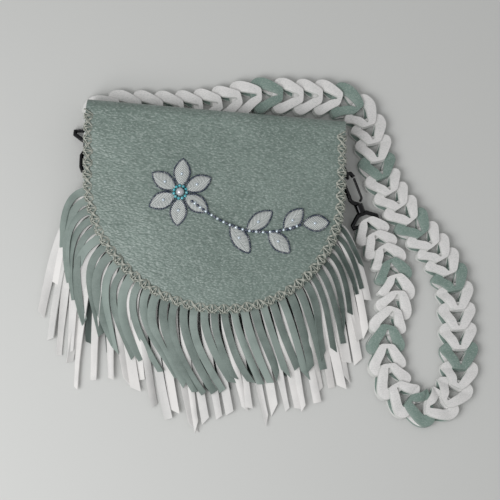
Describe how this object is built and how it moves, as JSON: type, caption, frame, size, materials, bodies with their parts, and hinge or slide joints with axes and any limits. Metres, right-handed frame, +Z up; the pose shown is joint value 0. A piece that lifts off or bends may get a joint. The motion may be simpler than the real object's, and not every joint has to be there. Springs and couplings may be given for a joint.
{
  "type": "fringed leather shoulder bag",
  "caption": "Round-bottomed leather flap bag lying on its back, with laced edge, layered fringe, beadwork sprig and a chain strap of folded leather links on swivel hooks.",
  "frame": {"origin": "floor level, under the middle of the whole object's box", "axes": "+Z up out of the flap as the bag lies on its back, +Y towards the flap's fold, +X to the wearer's strap side, along the fold"},
  "size_m": [0.4401, 0.3549, 0.0341],
  "materials": {
    "sage_leather": "smooth semi-matt, sage grey",
    "sage_split_leather": "napped split, sage grey",
    "white_leather": "semi-matt, off-white",
    "waxed_sinew": "waxed, grey-green",
    "black_metal": "gloss black",
    "beadwork": "glass beads and metal thread"
  },
  "bodies": {
    "bag": {"back_panel": "sage_leather", "body_fringe": "sage_split_leather", "front_panel": "sage_leather", "gusset": "sage_leather", "left_side_tab": "sage_leather", "left_swivel_eye": "black_metal", "right_side_tab": "sage_leather", "right_swivel_eye": "black_metal", "strap_keeper": "white_leather", "strap_link_01": "white_leather", "strap_link_02": "white_leather", "strap_link_03": "sage_leather", "strap_link_04": "white_leather", "strap_link_05": "white_leather", "strap_link_06": "white_leather", "strap_link_07": "sage_leather", "strap_link_08": "white_leather", "strap_link_09": "white_leather", "strap_link_10": "white_leather", "strap_link_11": "sage_leather", "strap_link_12": "white_leather", "strap_link_13": "white_leather", "strap_link_14": "white_leather", "strap_link_15": "sage_leather", "strap_link_16": "white_leather", "strap_link_17": "white_leather", "strap_link_18": "white_leather", "strap_link_19": "sage_leather", "strap_link_20": "white_leather", "strap_link_21": "white_leather", "strap_link_22": "white_leather", "strap_link_23": "sage_leather", "strap_link_24": "white_leather", "strap_link_25": "white_leather", "strap_link_26": "white_leather", "strap_link_27": "sage_leather", "strap_link_28": "white_leather", "strap_link_29": "white_leather", "strap_link_30": "white_leather", "strap_link_31": "sage_leather", "strap_link_32": "white_leather", "strap_link_33": "white_leather", "strap_link_34": "white_leather", "strap_link_35": "sage_leather", "strap_link_36": "white_leather", "strap_link_37": "white_leather", "strap_link_38": "white_leather", "strap_links_under_bag": "white_leather"},
    "flap": {"flap": "sage_leather", "lacing": "waxed_sinew", "flap_fringe_sage": "sage_split_leather", "flap_fringe_white": "white_leather", "beadwork_sprig": "beadwork"},
    "left_ring": {"left_dee_ring": "black_metal"},
    "left_hook": {"left_hook": "black_metal"},
    "left_gate": {"left_gate": "black_metal"},
    "right_ring": {"right_dee_ring": "black_metal"},
    "right_hook": {"right_hook": "black_metal"},
    "right_gate": {"right_gate": "black_metal"}
  },
  "joints": [
    {"name": "flap_hinge", "type": "hinge", "parent": "bag", "child": "flap", "pos_m": [-0.05819, 0.1181, 0.032], "axis": [-1, 0, 0], "range_deg": [0, 120]},
    {"name": "left_ring_turn", "type": "hinge", "parent": "bag", "child": "left_ring", "pos_m": [-0.18082, 0.0537, 0.0152], "axis": [0, 0, 1], "range_deg": [-5, 5]},
    {"name": "left_hook_swivel", "type": "hinge", "parent": "bag", "child": "left_hook", "pos_m": [-0.18467, 0.09348, 0.00737], "axis": [0.0928, -0.959, 0.2678], "range_deg": [-18, 18]},
    {"name": "left_gate_hinge", "type": "hinge", "parent": "left_hook", "child": "left_gate", "pos_m": [-0.18093, 0.08387, 0.01013], "axis": [0.0258, -0.2666, -0.9635], "range_deg": [0, 12], "stiffness_Nm_per_rad": 0.02},
    {"name": "right_ring_turn", "type": "hinge", "parent": "bag", "child": "right_ring", "pos_m": [0.07097, 0.0897, 0.0152], "axis": [0, 0, 1], "range_deg": [-5, 5]},
    {"name": "right_hook_swivel", "type": "hinge", "parent": "bag", "child": "right_hook", "pos_m": [0.09362, 0.04679, 0.00681], "axis": [-0.455, 0.8622, 0.2227], "range_deg": [-18, 18]},
    {"name": "right_gate_hinge", "type": "hinge", "parent": "right_hook", "child": "right_gate", "pos_m": [0.09141, 0.05698, 0.00911], "axis": [0.104, -0.197, 0.9749], "range_deg": [0, 12], "stiffness_Nm_per_rad": 0.02}
  ]
}
